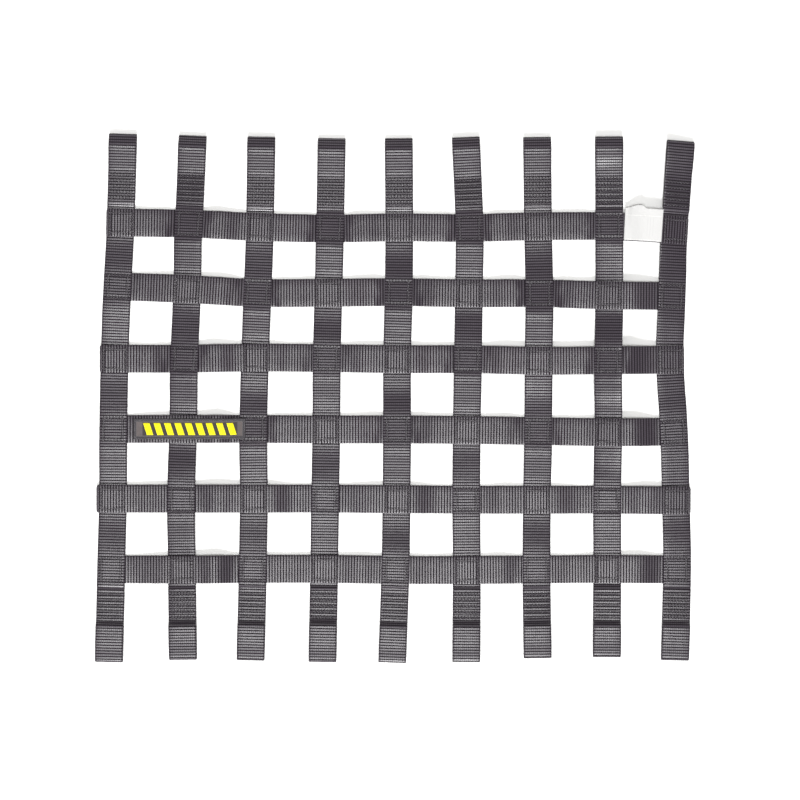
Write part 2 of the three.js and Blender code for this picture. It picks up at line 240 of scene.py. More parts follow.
def blend(amount, low, high):
    """A colour between two, each of them a signal, or its red, green and blue."""
    settings = {"data_type": "RGBA"}
    low, high = (x if isinstance(x, Signal) else (*x, 1) for x in (low, high))
    return Signal.node("ShaderNodeMix", settings, {0: amount, 6: low, 7: high}, output=2)


print("patterns ready")

# %% [markdown]
# ## The floor
#
# A pale sheet, so large that a low camera doesn't see its edge. It lies a little under the net, so
# that the two don't flicker.

# %% Lay the floor
FLOOR_REACH, FLOOR_DROP = 12, 0.0002

finish = new_finish("white floor", Roughness=0.9)
spot = Signal.node("ShaderNodeTexCoord", output="Object")
paper = Signal.node("ShaderNodeTexNoise", inputs={"Vector": spot, "Scale": 900, "Detail": 2})
dress(blend(paper, (0.80, 0.80, 0.80), (0.84, 0.84, 0.84)), paper, depth=0.00002)

bm = bmesh.new()
bmesh.ops.create_grid(bm, x_segments=2, y_segments=2, size=FLOOR_REACH)
bmesh.ops.translate(bm, vec=(0, 0, -FLOOR_DROP), verts=bm.verts)
mesh = bpy.data.meshes.new("floor")
bm.to_mesh(mesh)
bm.free()
mesh.materials.append(finish)
floor = bpy.data.objects.new("floor", mesh)
scene.collection.objects.link(floor)
print("floor:", tuple(floor.dimensions))

# %% [markdown]
# ## Where each strap lies
#
# The tables below are the net's pattern, in millimetres, as in the CAD source: the places of all
# crossings, and how far each stretch between two of them lifts off the surface. No two are quite
# the same, which is what makes the net look like cloth and not like a fence.

# %% Measures of the webbing and of the net
WIDTH, THICK, GAP = 25.4, 1.5, 0.3
HALF, HALF_THICK = WIDTH / 2, THICK / 2
# Where two straps cross: the height of the seam between them, from there to the middle of each, and
# half the length over which they lie flat
SEAM, LAYER, FLAT = THICK + GAP / 2, (THICK + GAP) / 2, HALF + 2
# A flap: from the crossing to its cut end, its sewn length, and how far the strap sags between the two
SETBACK, SEWN, FLAP_DIP = 6, 28, 0.7
# A loop: where its crest is, from the fold at the top end and from the sewn part at the low end, and
# the slope at which the cloth leaves the fold
TOP_CREST, LOW_CREST, FOLD_LEAN = 11, 5.5, math.radians(17)
# What brings the middle of the net's outline to the origin
SHIFT = Vector((-0.975, -0.209, 0))

# The y of each row and the x of each column, at which the tables below hold
ROW_Y = [158, 97.5, 36, -29, -92.5, -157]
COLUMN_X = [-255, -192, -127, -61, 3, 68, 132, 197.5, 257.5]
print("crossings:", len(ROW_Y) * len(COLUMN_X))

# %% [markdown]
# A down strap wanders to the left and to the right by a few millimetres. Its two loops stand open,
# each with a fold at its outer end and a crest behind the fold. Between the crossings it rises or
# sags a little.

# %% Tables of the down straps
# Down straps: y of the top and low end, then x at the low end, at rows 6 to 1 and at the top end
DOWN = [
    (243, -242, [-261.5, -259.5, -258, -257.5, -256.5, -254, -251, -248.5]),
    (241.5, -240, [-193.5, -194.5, -195, -193.5, -192, -190, -188, -184.5]),
    (240.5, -240.5, [-131.5, -129.5, -128.5, -129, -127.5, -125, -123, -121.5]),
    (239, -242, [-65.5, -64, -63, -62, -61.5, -60, -58.5, -57]),
    (239, -242.5, [-1.5, 1.5, 2.5, 3, 3, 4.5, 5, 4.5]),
    (240, -242, [66.5, 67, 66.5, 67, 68, 69, 69.5, 66]),
    (240, -238.5, [132, 131, 131.5, 132.5, 133, 133.5, 132.5, 131.5]),
    (240.5, -237.5, [195.5, 196, 196, 197, 197.5, 198, 198, 197.5]),
    (236.5, -240.5, [258, 260, 259, 257, 253.5, 255, 257.5, 263]),
]
# Down straps: outer height of the top loop at its fold and crest, of the low loop, and the lift of the
# five stretches, which sag where it is below 0
DOWN_RISE = [
    ((6.2, 8.2), (5.4, 7.6), [0, 0, 0, -0.2, 0]),
    ((5.2, 8.4), (5.2, 8.2), [-0.2, 0, -0.6, 0.4, -0.6]),
    ((6.0, 8.2), (5.0, 7.6), [0, -0.4, -0.6, -0.4, 0]),
    ((5.2, 8.2), (5.4, 7.8), [-0.6, -0.4, -0.6, 0, 0]),
    ((4.8, 8.0), (5.2, 7.6), [-0.4, 0, -0.8, 0.2, -0.4]),
    ((6.8, 8.6), (5.0, 7.6), [-0.4, 0.2, -0.6, 0.2, 0]),
    ((5.8, 8.2), (5.2, 7.8), [-0.2, 0.4, -0.6, 0, 0]),
    ((9.0, 10.4), (5.6, 8.2), [-0.8, 0, 0.2, -0.4, 0]),
    ((5.4, 5.8), (5.0, 7.6), [-0.2, 0.4, -0.4, 0, 0.2]),
]
print("longest down strap, end to end, mm:", max(top - low for top, low, _ in DOWN))

# %% [markdown]
# An across strap has no loops. It is cut off and sealed at both ends, about flush with the outer
# down straps. Between the crossings most of it rises and sags by turns.

# %% Tables of the across straps
# Across straps: x of the left and right end, then y at each column
ACROSS = [
    (-264, 270, [161.5, 160.5, 157.5, 156, 157, 156.5, 158, 158, 154.5]),
    (-264.5, 265, [103, 100.5, 97, 97, 97.5, 96.5, 96.5, 94.5, 94]),
    (-270, 266.5, [36.5, 36.5, 37.5, 37, 36, 36, 34.5, 35, 35.5]),
    (-268, 267.5, [-28, -28, -28, -28.5, -28.5, -29, -30, -31, -30.5]),
    (-273, 272.5, [-92, -92, -92, -92, -92.5, -93, -93, -93, -93.5]),
    (-270, 270.5, [-157, -157, -156.5, -156.5, -157.5, -157.5, -157, -156.5, -157]),
]
# Across straps: the lift of the eight stretches, which sag where it is below 0
ACROSS_RISE = [
    [-0.4, 0.8, -0.4, 0.8, -0.4, 0.6, 0.2, 1.2],
    [0, 1.0, -0.4, 0.3, -0.7, 0.5, -0.5, 0],
    [-1.0, 1.0, -0.9, 0.5, -0.9, 1.1, 0, -0.8],
    [0.4, 2.4, -0.4, -0.3, -0.6, 0.9, -0.2, 0.6],
    [0, 1.2, -1.0, 0.1, -0.8, 0.9, -0.4, 0.7],
    [0, 2.0, -0.5, 0.8, -0.6, 0.9, -0.5, 0.9],
]
print("longest across strap, end to end, mm:", max(right - left for left, right, _ in ACROSS))

# %% [markdown]
# The net doesn't lie quite flat. Some crossings stand off the surface and lean, and three down
# straps are rolled to one side. The angles are small, but they decide which parts catch the light.

# %% Lift, tilt and roll
# Crossings, a row for each across strap: how far they stand off the surface, and their tilt in degrees
LIFT = [
    [0, 0.7, 0, 0.5, 0, 0.4, 0, 1.1, 0],
    [0.3, 0.4, 0.4, 0, 1.5, 0, 1.4, 1.9, 0],
    [0, 1.3, 0.4, 0.9, 1.2, 1.8, 2.6, 4.9, 0],
    [0.2, 0.8, 0.2, 0, 2.3, 0, 0.8, 0.8, 0],
    [0, 2.6, 1.6, 0.6, 0.9, 0.2, 0, 0.2, 0],
    [0.2, 0.8, 1.5, 0, 1.5, 0, 0.8, 0, 0],
]
TILT = [
    [0, 6, 0, 6, 0, 6, 0, 5, 0],
    [2, 0, 5, 0, 7, 0, 8, 0, 0],
    [0, 4, 0, 3, 0, 4, 0, 4, 0],
    [2, 0, 5, 0, 4, 0, 4, 0, 0],
    [0, 1, 0, 1, 0, 1, 0, 1, 0],
    [1, 0, 1, 0, 1, 0, 1, 0, 0],
]
# Down straps that are rolled a little, counted from 0, and their roll from the low end to the top end:
# degrees, above 0 where the left edge is off the surface and below 0 where the right one is
ROLL = {
    1: [0, -3, -1, -1.5, -3, -1.5, -3, 0],
    7: [0, -3, -2.5, -6.5, -7.5, -6, -3.5, 0],
    8: [0, 2, 3, 3, 5, 8, 13, 8],
}
print("highest crossing, mm off the surface:", max(max(row) for row in LIFT))

# %% [markdown]
# Webbing bends smoothly, so the places in the tables are joined by smooth curves, and not by
# straight lines. A cubic with a chosen slope at both ends is enough for all of them.

# %% Smooth curves through the tables
def cubic(u, a, slope_a, b, slope_b):
    """From a to b as u goes from 0 to 1, with a slope chosen at each end."""
    v = 1 - u
    ends = a * v * v * (1 + 2 * u) + b * u * u * (3 - 2 * u)
    return ends + slope_a * u * v * v - slope_b * u * u * v


def curve(places, values):
    """A smooth curve through values at rising places, straight past its two ends."""
    last = len(places) - 1
    slopes = []
    for i in range(last + 1):
        a, b = max(i - 1, 0), min(i + 1, last)
        slopes.append((values[b] - values[a]) / (places[b] - places[a]))

    def at(place):
        if place <= places[0] or place >= places[last]:
            i = 0 if place <= places[0] else last
            return values[i] + slopes[i] * (place - places[i])
        i = bisect_right(places, place) - 1
        gap = places[i + 1] - places[i]
        u = (place - places[i]) / gap
        return cubic(u, values[i], slopes[i] * gap, values[i + 1], slopes[i + 1] * gap)

    return at


down_x = [curve([low_y, *reversed(ROW_Y), top_y], xs) for top_y, low_y, xs in DOWN]
across_y = [curve(COLUMN_X, ys) for _, _, ys in ACROSS]
print("middle of the net:", round(down_x[4](0), 2), round(across_y[3](0), 2))

# %% [markdown]
# Roll needs another kind of curve. It can't change on the flat part of a crossing, where two straps
# are sewn together, so it is steady there, and is eased from one value to the next in between.

# %% Roll of the down straps
def smooth(u):
    """From 0 to 1, level at both ends and past them."""
    u = min(max(u, 0), 1)
    return u * u * (3 - 2 * u)


def steady(places, values):
    """Steady over the flat part of each crossing, and eased in between."""
    last = len(places) - 1

    def at(place):
        if place <= places[0] or place >= places[last]:
            return values[0 if place <= places[0] else last]
        i = bisect_right(places, place) - 1
        low = places[i] + (FLAT if i > 0 else 0)
        high = places[i + 1] - (FLAT if i + 1 < last else 0)
        return values[i] + (values[i + 1] - values[i]) * smooth((place - low) / (high - low))

    return at


roll_at = []
for c, (top_y, low_y, _) in enumerate(DOWN):
    places = [low_y, *reversed(ROW_Y), top_y]
    roll_at.append(steady(places, ROLL.get(c, [0] * len(places))))
print("roll at the top row, degrees:", [at(ROW_Y[0]) for at in roll_at])

# %% [markdown]
# A crossing is a small square on which both straps lie flat, one on the other. Its plane leans
# with the tilt of the across strap and with the roll of the down strap. In a plain weave the down
# strap is on top at every second crossing.

# %% The sewn square of each crossing
REACH = 0.1


def base_of(c, y):
    """The line on which a down strap rests, the way it runs, and the way its face looks."""
    drift = (down_x[c](y + REACH) - down_x[c](y - REACH)) / (2 * REACH)
    roll = math.radians(roll_at[c](y))
    north = Vector((drift, 1, 0)).normalized()
    east = Vector((1, -drift, 0)).normalized()
    up = Vector((0, 0, math.cos(roll))) + east * math.sin(roll)
    return Vector((down_x[c](y), y, HALF * math.sin(abs(roll)))), north, up


def crossing_of(r, c):
    """Where across strap r and down strap c meet, found by going from one curve to the other."""
    y = ROW_Y[r]
    for _ in range(4):
        x = down_x[c](y)
        y = across_y[r](x)
    tilt = math.radians(TILT[r][c])
    seam = SEAM + FLAT * math.sin(tilt) + LIFT[r][c]
    middle, north, up = base_of(c, y)
    normal = up * math.cos(tilt) + north * math.sin(tilt)
    return {"middle": middle + up * seam, "normal": normal, "y": y, "seam": seam, "tilt": tilt,
            "down_on_top": (r + c) % 2 == 1}


DOWN_STRAPS, ACROSS_STRAPS = range(len(DOWN)), range(len(ACROSS))
CROSSINGS = [[crossing_of(r, c) for c in DOWN_STRAPS] for r in ACROSS_STRAPS]
print("highest seam, mm:", round(max(x["middle"].z for row in CROSSINGS for x in row), 2))


# %% [markdown]
# ## The course of a strap
#
# A course is a long row of stations. Each holds a middle point, the way the strap runs there, and
# the way its upper face looks. Asked for a number of millimetres along the strap, it answers with
# the station there. A flat strip can then be bent along it without being stretched.

# %% A course that can be asked for any place along it
class Course:
    def __init__(self, stations):
        self.stations = [(p + SHIFT, a.normalized(), n.normalized()) for p, a, n in stations]
        self.marks = [0]
        for (a, _, _), (b, _, _) in zip(self.stations, self.stations[1:]):
            self.marks.append(self.marks[-1] + (b - a).length)
        self.length = self.marks[-1]

    def at(self, along):
        i = min(max(bisect_right(self.marks, along), 1), len(self.marks) - 1)
        u = (along - self.marks[i - 1]) / (self.marks[i] - self.marks[i - 1])
        point, run, face = (a.lerp(b, u) for a, b in zip(self.stations[i - 1], self.stations[i]))
        return point, run.normalized(), face.normalized()

    def place(self, across, along, off):
        """A point of the bent strip, in millimetres, and the way its face looks there."""
        point, run, face = self.at(along)
        return point + run.cross(face) * across + face * off, face

    def mark_of(self, spot):
        """How far along the course a point of the net lies."""
        spot = spot + SHIFT
        i = min(range(len(self.marks)), key=lambda k: (self.stations[k][0] - spot).length)
        point, run, _ = self.stations[i]
        return self.marks[i] + (spot - point).dot(run)


north, up = Vector((0, 1, 0)), Vector((0, 0, 1))
straight = Course([(Vector((0, y, 0)), north, up) for y in (0, 50)])
print("a straight course of 50 mm measures:", straight.length)

# %% [markdown]
# A down strap starts at the cut end of its upper flap, underneath. It runs out to the loop, turns
# back over the flap, goes over and under six straps, and ends in the same way at the low end. It is
# put together from two helpers: a stretch between two places, and a folded end with its loop.

# %% A stretch, and a folded end
STEP, FOLD_STEPS = 1.2, 24


def stretch(start, end, lift, length=STEP):
    """The run between two places, each of them y, height and slope, in steps of about a length."""
    (y0, h0, slope0), (y1, h1, slope1) = start, end
    run, heading = abs(y1 - y0), math.copysign(1, y1 - y0)

    def height(u):
        line = cubic(u, h0, slope0 * run, h1, slope1 * run)
        return max(line + lift * math.sin(math.pi * u) ** 2, HALF_THICK)

    steps = max(round(run / length), 2)
    nudge = REACH / run
    found = []
    for i in range(1, steps):
        u = i / steps
        slope = (height(u + nudge) - height(u - nudge)) / (2 * REACH)
        found.append((y0 + heading * u * run, height(u), heading, slope))
    return found


def folded_end(end, flap_end, fold_height, loop_height, crest_y):
    """From the cut end of a flap out to the fold, over the crest of the loop and back above the flap."""
    out = math.copysign(1, end - flap_end)
    throat = flap_end + out * SEWN
    radius = fold_height / 2 - HALF_THICK
    bend = end - out * fold_height / 2
    upper = (throat, HALF_THICK + 2 * LAYER, 0)
    crest = (crest_y, loop_height - HALF_THICK, 0)
    path = [(y, HALF_THICK, out, 0) for y in (flap_end, throat)]
    for i in range(FOLD_STEPS + 1):
        turn = (math.pi - FOLD_LEAN) * i / FOLD_STEPS
        sine, cosine = math.sin(turn), math.cos(turn)
        path.append((bend + out * radius * sine, HALF_THICK + radius * (1 - cosine), out * cosine, sine))
    leaving = (path[-1][0], path[-1][1], math.tan(FOLD_LEAN))
    path += stretch(leaving, crest, 0) + [(crest[0], crest[1], -out, 0)]
    path += stretch(crest, upper, 0, STEP / 2)
    return path + [(y, upper[1], -out, 0) for y in (throat, flap_end)]


first_end = DOWN[0][0]
first_loop = folded_end(first_end, ROW_Y[0] + FLAT, *DOWN_RISE[0][0], first_end - TOP_CREST)
print("places in the first folded end:", len(first_loop))

# %% [markdown]
# The rest of a down strap follows from its crossings. On each it is straight, one layer above or below
# the seam. In between it rises or sags as its table says. The low end is made as the top end is, and
# then turned round, so that the course still runs one way.

# %% Courses of the nine down straps
def down_course(c):
    """The course of a down strap. Its throats are where the sewn part of each flap ends."""
    top_y, low_y, _ = DOWN[c]
    top_loop, low_loop, lifts = DOWN_RISE[c]
    upper = HALF_THICK + 2 * LAYER
    edges = []
    for r in ACROSS_STRAPS:
        x = CROSSINGS[r][c]
        layer = LAYER if x["down_on_top"] else -LAYER
        height, slope = x["seam"] + layer / math.cos(x["tilt"]), math.tan(x["tilt"])
        edges.append([(x["y"] - reach, height + slope * reach, slope) for reach in (-FLAT, FLAT)])
    top_flap = CROSSINGS[0][c]["y"] + HALF + SETBACK
    low_flap = CROSSINGS[-1][c]["y"] - HALF - SETBACK
    top_dip, low_dip = (-FLAP_DIP if CROSSINGS[r][c]["down_on_top"] else 0 for r in (0, -1))
    top_end = folded_end(top_y, top_flap, *top_loop, top_y - TOP_CREST)
    low_end = folded_end(low_y, low_flap, *low_loop, low_flap - SEWN - LOW_CREST)
    path = top_end + stretch((top_flap, upper, 0), edges[0][0], top_dip, STEP / 2)
    for r, (before, after) in enumerate(edges):
        if r:
            path += stretch(edges[r - 1][1], before, lifts[r - 1])
        path += [(y, height, -1, slope) for y, height, slope in (before, after)]
    path += stretch(edges[-1][1], (low_flap, upper, 0), low_dip, STEP / 2)
    path += [(y, h, -ty, -th) for y, h, ty, th in reversed(low_end)]
    stations = []
    for y, height, ty, th in path:
        middle, north, up = base_of(c, y)
        stations.append((middle + up * height, north * ty + up * th, north * th - up * ty))
    course = Course(stations)
    course.throats = course.marks[len(top_end) - 2], course.marks[1 - len(low_end)]
    return course


down_courses = [down_course(c) for c in DOWN_STRAPS]
print("down straps, cut length in mm:", [round(x.length) for x in down_courses])

# %% [markdown]
# An across strap has no loops. Its height is worked out from its x alone: flat on each crossing,
# and a smooth rise and fall in between. A tilted crossing twists it only over the nearest share of the
# stretch.

# %% Height and face of an across strap
TWISTED_SHARE = 0.22


def across_surface(r):
    """A function that gives the height of the strap's middle, and the way its face looks, at an x."""
    crossings, lifts = CROSSINGS[r], ACROSS_RISE[r]

    def on_plane(k, x):
        middle, normal = crossings[k]["middle"], crossings[k]["normal"]
        layer = LAYER if crossings[k]["down_on_top"] else -LAYER
        away = (x - middle.x) * normal.x + (across_y[r](x) - middle.y) * normal.y
        return middle.z - (away + layer) / normal.z

    def slope(k, x):
        return (on_plane(k, x + REACH) - on_plane(k, x - REACH)) / (2 * REACH)

    xs = [x["middle"].x for x in crossings]

    def at(x):
        k = bisect_right(xs, x)
        if k == 0 or (k < len(xs) and x >= xs[k] - FLAT):
            return on_plane(k, x), crossings[k]["normal"]
        if k == len(xs) or x <= xs[k - 1] + FLAT:
            return on_plane(k - 1, x), crossings[k - 1]["normal"]
        low, high = xs[k - 1] + FLAT, xs[k] - FLAT
        run = high - low
        u = (x - low) / run
        left_twist, right_twist = (1 - smooth(v / TWISTED_SHARE) for v in (u, 1 - u))
        normal = crossings[k - 1]["normal"] * left_twist + crossings[k]["normal"] * right_twist
        normal = (normal + Vector((0, 0, 1 - left_twist - right_twist))).normalized()
        start, end = on_plane(k - 1, low), on_plane(k, high)
        line = cubic(u, start, slope(k - 1, low) * run, end, slope(k, high) * run)
        height = line + lifts[k - 1] * math.sin(math.pi * u) ** 2
        return max(height, HALF_THICK + HALF * abs(normal.y)), normal

    return at


left_end, (left_height, _) = ACROSS[0][0], across_surface(0)(ACROSS[0][0])
print("first across strap: height at x", left_end, "is", round(left_height, 2), "mm")

# %% [markdown]
# The stations of an across strap stand close together between its crossings, and there are none on
# the flat parts, which need only their two ends.

# %% Courses of the six across straps
def across_course(r):
    surface = across_surface(r)
    left, right, _ = ACROSS[r]
    places = [left]
    for k in DOWN_STRAPS:
        middle = CROSSINGS[r][k]["middle"].x
        if k:
            low = CROSSINGS[r][k - 1]["middle"].x + FLAT
            steps = round((middle - FLAT - low) / STEP)
            places += [low + (middle - FLAT - low) * i / steps for i in range(1, steps)]
        places += [x for x in (middle - FLAT, middle + FLAT) if left < x < right]
    places.append(right)
    stations = []
    for x in places:
        a, b = (Vector((at, across_y[r](at), surface(at)[0])) for at in (x - REACH, x + REACH))
        along = (b - a).normalized()
        height, face = surface(x)
        face = face - along * face.dot(along)
        stations.append((Vector((x, across_y[r](x), height)), along, face))
    return Course(stations)


across_courses = [across_course(r) for r in ACROSS_STRAPS]
print("across straps, cut length in mm:", [round(x.length) for x in across_courses])

# %% [markdown]
# ## Weaving the webbing
#
# Heavy webbing is woven with thick weft yarns, so it has ribs from edge to edge every 2.6 mm, on
# both faces. The strip is made flat: a grid that is given thickness with the solidify operator.
# Four rows of vertices make one rib: the groove, a shoulder, the middle and the other shoulder. The
# shoulders are sharp, so that the flat tops of all ribs catch the light together, as woven yarn does.
# The edges are thinner and rounded, and sealed cut ends have rounded corners. Only then is it bent.
#
# Each vertex also keeps its place in the flat strip, because the weave has to follow the cloth
# round every bend. A pattern on the object's own coordinates would slide over the loops.

# %% The section of the webbing, and of one rib
RIB = 2.6
# The groove, a shoulder, the middle and the other shoulder: place along the rib, and depth
RIB_PLACES = (0, 0.2, 0.5, 0.8)
VALLEY = (0.34, 0.02, 0, 0.02)
# Across the strap: place, half thickness, and how much of the rib shows there
PROFILE = [(12.7, 0.30, 0.2), (12.45, 0.62, 0.6), (11.4, 0.75, 1), (5.5, 0.75, 1), (0, 0.75, 1)]
COLUMNS = [(-x, half, rib) for x, half, rib in PROFILE[:-1]] + PROFILE[::-1]
print("vertices across each face of a strap:", len(COLUMNS))

# %% [markdown]
# Every strip of cloth in the net starts as the same thing: a flat, closed strip, with given columns
# across it and given places along it. All sizes are in millimetres for now.

# %% Start a flat strip
def evenly(length, step):
    """Places from 0 to a length, about a step apart."""
    count = round(length / step)
    return [length * i / count for i in range(count + 1)]


def flat_strip(columns, places, thick):
    """A closed flat strip, x across it and y along it, the upper face at thick / 2."""
    bm = bmesh.new()
    bmesh.ops.create_grid(bm, x_segments=len(columns) - 1, y_segments=len(places) - 1, size=1)
    for v in bm.verts:
        v.co.x = columns[round((v.co.x + 1) / 2 * (len(columns) - 1))]
        v.co.y = places[round((v.co.y + 1) / 2 * (len(places) - 1))]
    bmesh.ops.solidify(bm, geom=bm.faces[:], thickness=thick)
    low = min(v.co.z for v in bm.verts)
    bmesh.ops.translate(bm, vec=(0, 0, -low - thick / 2), verts=bm.verts)
    return bm


print("vertices along each side of the first down strap:", 4 * round(down_courses[0].length / RIB) + 1)

# %% [markdown]
# It also ends in the same way: bent along its course, brought to metres, made smooth and given its
# finish. Rounded corners are made before that, by drawing the flat outline in.

# %% Bend a strip and finish it
def finished(bm, name, material, course=None):
    """Turns a bmesh in millimetres into a smooth object in metres, bent along a course if given."""
    if course:
        stations = {}
        for v in bm.verts:
            key = round(v.co.y, 3)
            if key not in stations:
                point, run, face = course.at(v.co.y)
                stations[key] = point, run.cross(face), face
            point, side, face = stations[key]
            v.co = point + side * v.co.x + face * v.co.z
    bmesh.ops.scale(bm, vec=(0.001, 0.001, 0.001), verts=bm.verts)
    for face in bm.faces:
        face.smooth = True
    mesh = bpy.data.meshes.new(name)
    bm.to_mesh(mesh)
    bm.free()
    mesh.materials.append(material)
    made = bpy.data.objects.new(name, mesh)
    scene.collection.objects.link(made)
    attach(made, "root")
    return made


def corner_pull(end_distance, radius):
    """How far the outline draws in beside a rounded corner."""
    inside = max(radius - max(end_distance, 0), 0)
    return radius - math.sqrt(radius**2 - inside**2)


print("a corner of 2 mm draws in at its end by, mm:", corner_pull(0, 2))

# %% [markdown]
# Every crossing has its own sewn box, a little off its middle, as hands and machines leave it.
# The same numbers place the thread and the dimples that it pulls into the cloth. Mathutils has a
# smooth noise, which gives the same numbers in each run.

# %% Where each strap is sewn
# A sewn box: how far its rows across the strap and its side rows lie from the crossing's middle, how
# far each zigzag swings, and its stitch
ROW_OFF, SIDE_OFF, ZIG, ZIG_STEP = 10.2, 8.9, 1.1, 1.45


def ripple(x, y, z):
    """Smooth noise about 0, with about one wave to a unit of each number."""
    return noise.noise(Vector((x, y, z)))


def scatter(seed, size):
    """A repeatable number between -size and size."""
    return size * min(max(2.2 * ripple(seed * 7.31, seed * 3.17 + 0.4, 5.5), -1), 1)


def boxes_of(course, crossings):
    """Along and across offsets of the sewn boxes on a strap."""
    return [(course.mark_of(x["middle"]) + scatter(x["middle"].x + x["y"], 0.5),
             scatter(x["middle"].x - x["y"], 0.4)) for x in crossings]


# Five zigzag rows on each flap, counted from its throat
FLAP_ROWS = [3.0 + 5.3 * i for i in range(5)]


def flap_marks_of(course):
    """Where the zigzag rows of the two flaps cross a down strap: on the flaps, and above them."""
    top, low = course.throats
    under = [course.marks[1] - d for d in FLAP_ROWS] + [course.marks[-2] + d for d in FLAP_ROWS]
    above = [top + d for d in FLAP_ROWS] + [low - d for d in FLAP_ROWS]
    return under, above


down_boxes = [boxes_of(down_courses[c], [row[c] for row in CROSSINGS]) for c in DOWN_STRAPS]
across_boxes = [boxes_of(across_courses[r], CROSSINGS[r]) for r in ACROSS_STRAPS]
print("first down strap is sewn at, mm:", [round(s) for s, _ in down_boxes[0]])

# %% [markdown]
# The finish of the webbing reads the place that each vertex keeps. The yarn's gloss is a coat
# that covers only the tops of the ribs. The grooves are dull, and their colour is painted shade,
# far darker than the rib tops. Beads along each rib are the warp yarns. Painted shade darkens the
# needle holes at the corners of the zigzag and, a little, the band of each row of stitches.

# %% Finish of the webbing
BEAD_WIDTH = 1.85
# The groove colour is painted shade; the rib colour is the cloth's own.
GROOVE_PAINTED_SHADE, RIB_COLOUR = (0.008, 0.0055, 0.0085), (0.031, 0.0225, 0.0345)
# The colour of the needle holes is painted shade.
HOLE_PAINTED_SHADE = (0.002, 0.002, 0.002)


def needle_holes(name):
    """Spots of painted shade at the corners of a zigzag row, where the needle went in, and the band that
    the row takes up.
    """
    length, away, on = attribute(name)
    swing = Signal.math("COSINE", length * (math.pi / ZIG_STEP))
    inside = (1 - step(abs(away), 1.2, 1.8)) * (1 - step(abs(length), 10.3, 10.9)) * on
    return step(swing * away, 0.5, 0.95) * inside, inside


def webbing_finish():
    made = new_finish(
        "charcoal webbing",
        Roughness=0.7,
        Specular_IOR_Level=0.15,
        Coat_Roughness=0.37,
        Coat_IOR=1.6,
    )
    across, turn, melted = attribute("weave")
    odd = Signal.math("FLOOR", turn) % 2
    bead = wave(across / BEAD_WIDTH + odd * 0.12)
    fibre = grain(across * 7, turn * 2, odd * 5)
    cloud = grain(across * 0.05, turn * 0.05, 0, detail=3)
    patch = grain(across * 0.4, turn * 1.3, 7)
    cross_holes, cross_rows = needle_holes("row")
    side_holes, side_rows = needle_holes("side_row")
    holes = Signal.math("MAXIMUM", cross_holes, side_holes)
    rows = Signal.math("MAXIMUM", cross_rows, side_rows)
    # One mask gives the coat on the rib tops, and blends the colour from painted shade in the grooves,
    # holes and rows of stitches to the rib colour.
    gloss_and_painted_shade = step(wave(turn), 0.30, 0.50) * (0.55 + 0.45 * bead) * (0.6 + 0.8 * fibre)
    gloss_and_painted_shade = gloss_and_painted_shade * (0.7 + 0.3 * cloud + 0.3 * patch) * (1 - 0.25 * rows) * (1 - holes)
    colour = blend(holes * 0.9, blend(gloss_and_painted_shade, GROOVE_PAINTED_SHADE, RIB_COLOUR), HOLE_PAINTED_SHADE)
    height = 0.3 * bead + 0.25 * fibre - holes
    dress(colour, height, depth=0.00014, coat=gloss_and_painted_shade + 0.4 * melted)
    return made


webbing = webbing_finish()
print("nodes in the webbing finish:", len(webbing.node_tree.nodes))

# %% [markdown]
# Thread pulls the cloth in beside every row of stitches, and the needle leaves holes there. So each
# vertex has to know how far it is from the nearest row that runs across the strap, whether of a box
# or of a flap, and from the nearest side row of a box.

# %% Find the nearest rows of thread
# How near a box or a flap row is to count, a distance that counts as none, and how strongly the painted
# shade of a flap's holes and rows shows
BOX_REACH, FLAP_REACH, NO_ROW, FLAP_HOLES = 13, 3, 99, 1.5


def nearest_rows(x, s, boxes, flap_marks):
    """Along, away from and on or off the nearest row across the strap, and the nearest side row."""
    box, shift = min(boxes, key=lambda b: abs(s - b[0]))
    near = abs(s - box) < BOX_REACH
    if near:
        away, on = abs(s - box) - ROW_OFF, 1
    else:
        away = min((abs(s - m), s - m) for m in flap_marks)[1] if flap_marks else NO_ROW
        on = FLAP_HOLES if abs(away) < FLAP_REACH else 0
    return (x - shift, away, on), (s - box, abs(x - shift) - SIDE_OFF, int(near))


print("rows nearest to the middle of a box:", nearest_rows(0, 0, [(0, 0)], ()))

# %% [markdown]
# A strap is a flat strip with places at every rib. Each vertex goes up or down by where it is: on a
# rib or in a groove, beside a row of thread that pulls it in, or at a sealed end. It also keeps its
# place in the weave and its distance from the nearest rows of thread, which the finish reads.

# %% How a strap is woven
# Sealed ends: their round corners, how far the melt reaches, and how far and how much they thin out
END_RADIUS, END_MELT, END_TAPER, END_THINNING = 2.2, 2.4, 1.6, 0.35
# How deep a row of thread pulls the cloth in, and how far from the row
PULL, PULL_REACH = 0.22, 1.4
# How uneven the faces and the edges are, how far a rib bulges past the edge, and where the edge starts
FACE_NOISE, EDGE_NOISE, RIB_BULGE, EDGE_FROM = 0.04, 0.10, 0.06, 11
# No place is thinner than twice this
LEAST_HALF = 0.12


